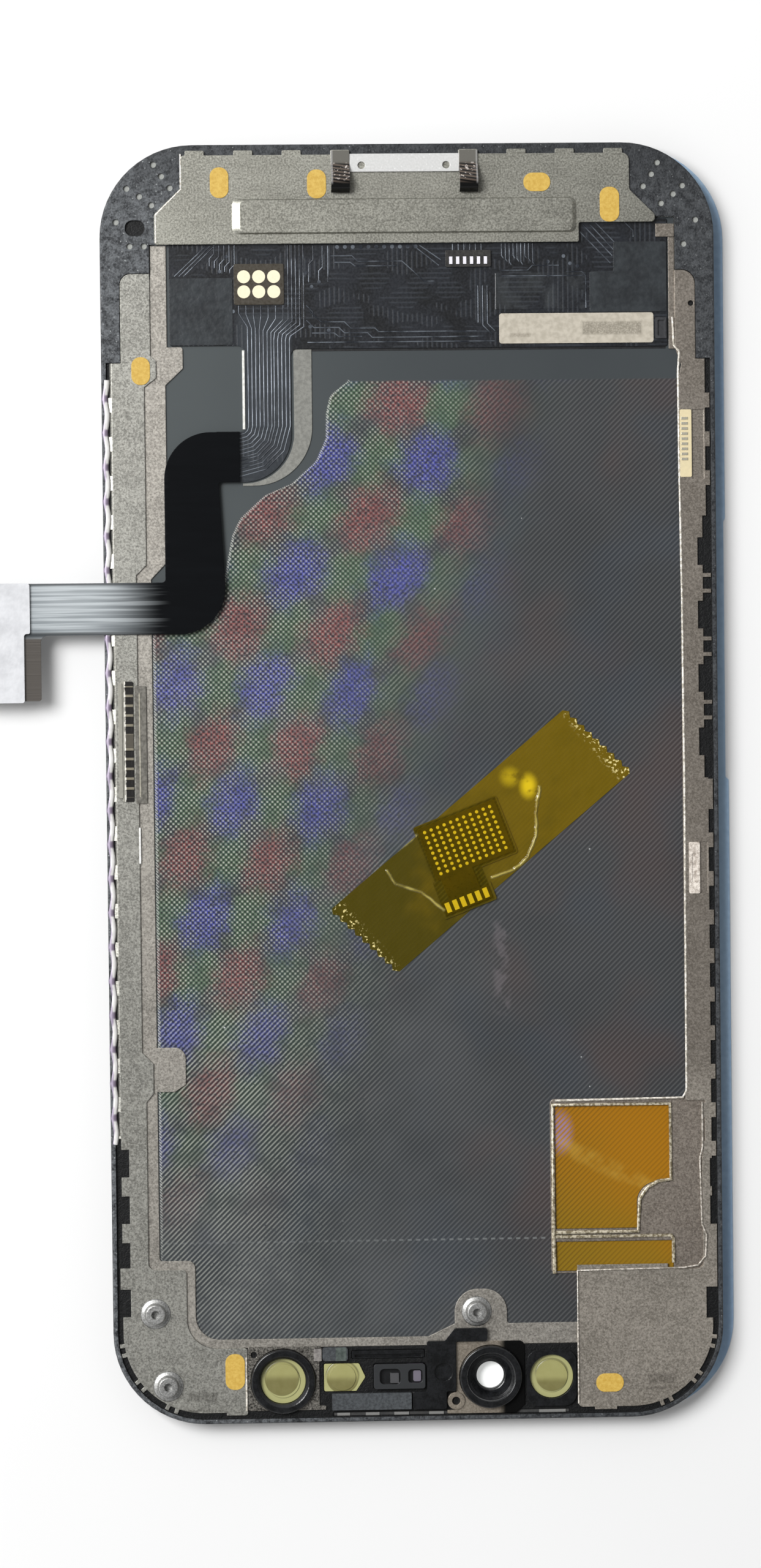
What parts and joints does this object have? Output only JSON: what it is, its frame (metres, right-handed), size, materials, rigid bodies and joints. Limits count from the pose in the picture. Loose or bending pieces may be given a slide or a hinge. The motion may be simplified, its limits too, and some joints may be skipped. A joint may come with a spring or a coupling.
{
  "type": "phone lcd screen assembly",
  "caption": "Flat phone display assembly seen from its rear: black bezel, steel side plates, driver board with a flexible tail, sensor seats and an amber taped chip.",
  "frame": {"origin": "middle of the frame outline, on the front face of the protective film", "axes": "+X to the right and +Y towards the driver board's end, both seen from the rear; +Z from the front face to the rear"},
  "size_m": [0.0825, 0.1384, 0.0043],
  "materials": {
    "blue_film": "clear blue-grey protective film",
    "cover_glass": "polished glass",
    "clear_sheet": "clear plastic sheet",
    "polarizer": "smoky film",
    "panel_glass": "thin glass",
    "white_sheet": "white film",
    "chip_black": "black moulded resin",
    "flex_film": "black flexible circuit",
    "rear_film": "dark grey film with a fine hatch and faint colour",
    "frame_plastic": "speckled black moulding",
    "left_steel": "grainy stainless sheet",
    "right_steel": "grainy stainless sheet in brown light",
    "polished_steel": "bright steel",
    "gold_plate": "soft gold plating",
    "amber_film": "amber film with a fine hatch",
    "amber_tape": "wrinkled amber tape",
    "board": "black solder mask over fine traces",
    "test_pads": "pale gold pads on black",
    "black_tape": "black tape",
    "label_paper": "cream label",
    "beige_strip": "grey-beige strip",
    "black_foam": "black foam",
    "white_cover": "white cover",
    "chip_gold": "gold dots on dark film",
    "seat_black": "black moulding",
    "grey_foam": "dark grey foam",
    "olive_film": "pale olive film"
  },
  "bodies": {
    "root": {"protective_film": "blue_film", "cover_glass": "cover_glass", "optical_adhesive": "clear_sheet", "front_polarizer": "polarizer", "rear_polarizer": "polarizer", "colour_filter_glass": "panel_glass", "array_glass": "panel_glass", "upper_prism_film": "clear_sheet", "lower_prism_film": "clear_sheet", "diffuser_film": "white_sheet", "light_guide": "clear_sheet", "reflector_film": "white_sheet", "led_strip": "white_sheet", "driver_chip": "chip_black", "panel_fold_flex": "flex_film", "rear_film": "rear_film", "bezel_frame": "frame_plastic", "left_side_plate": "left_steel", "right_side_plate": "right_steel", "inner_retainer": "left_steel", "end_strip": "right_steel", "window_plate": "right_steel", "top_bracket": "left_steel", "ring_bracket": "left_steel", "camera_bracket": "left_steel", "edge_strip": "left_steel", "latch_bar": "polished_steel", "comb_contact": "polished_steel", "lower_side_contact": "polished_steel", "left_standoff": "polished_steel", "corner_standoff": "polished_steel", "lobe_standoff": "polished_steel", "upper_side_contact": "gold_plate", "ground_pads": "gold_plate", "upper_amber_film": "amber_film", "lower_amber_film": "amber_film", "amber_tape": "amber_tape", "driver_board": "board", "pad_block": "test_pads", "pin_connector": "chip_black", "small_connector": "chip_black", "board_tape": "black_tape", "end_tape": "black_tape", "board_label": "label_paper", "neck_strip": "beige_strip", "flex_tail": "flex_film", "flex_foam": "black_foam", "connector_cover": "white_cover", "flex_connector": "chip_black", "chip_flex": "chip_gold", "infrared_ring": "seat_black", "camera_ring": "seat_black", "projector_seat": "seat_black", "sensor_holder": "seat_black", "earpiece_bar": "seat_black", "sensor_bracket": "seat_black", "foam_pads": "grey_foam", "infrared_film": "olive_film", "projector_film": "olive_film", "flood_window": "olive_film"}
  },
  "joints": []
}
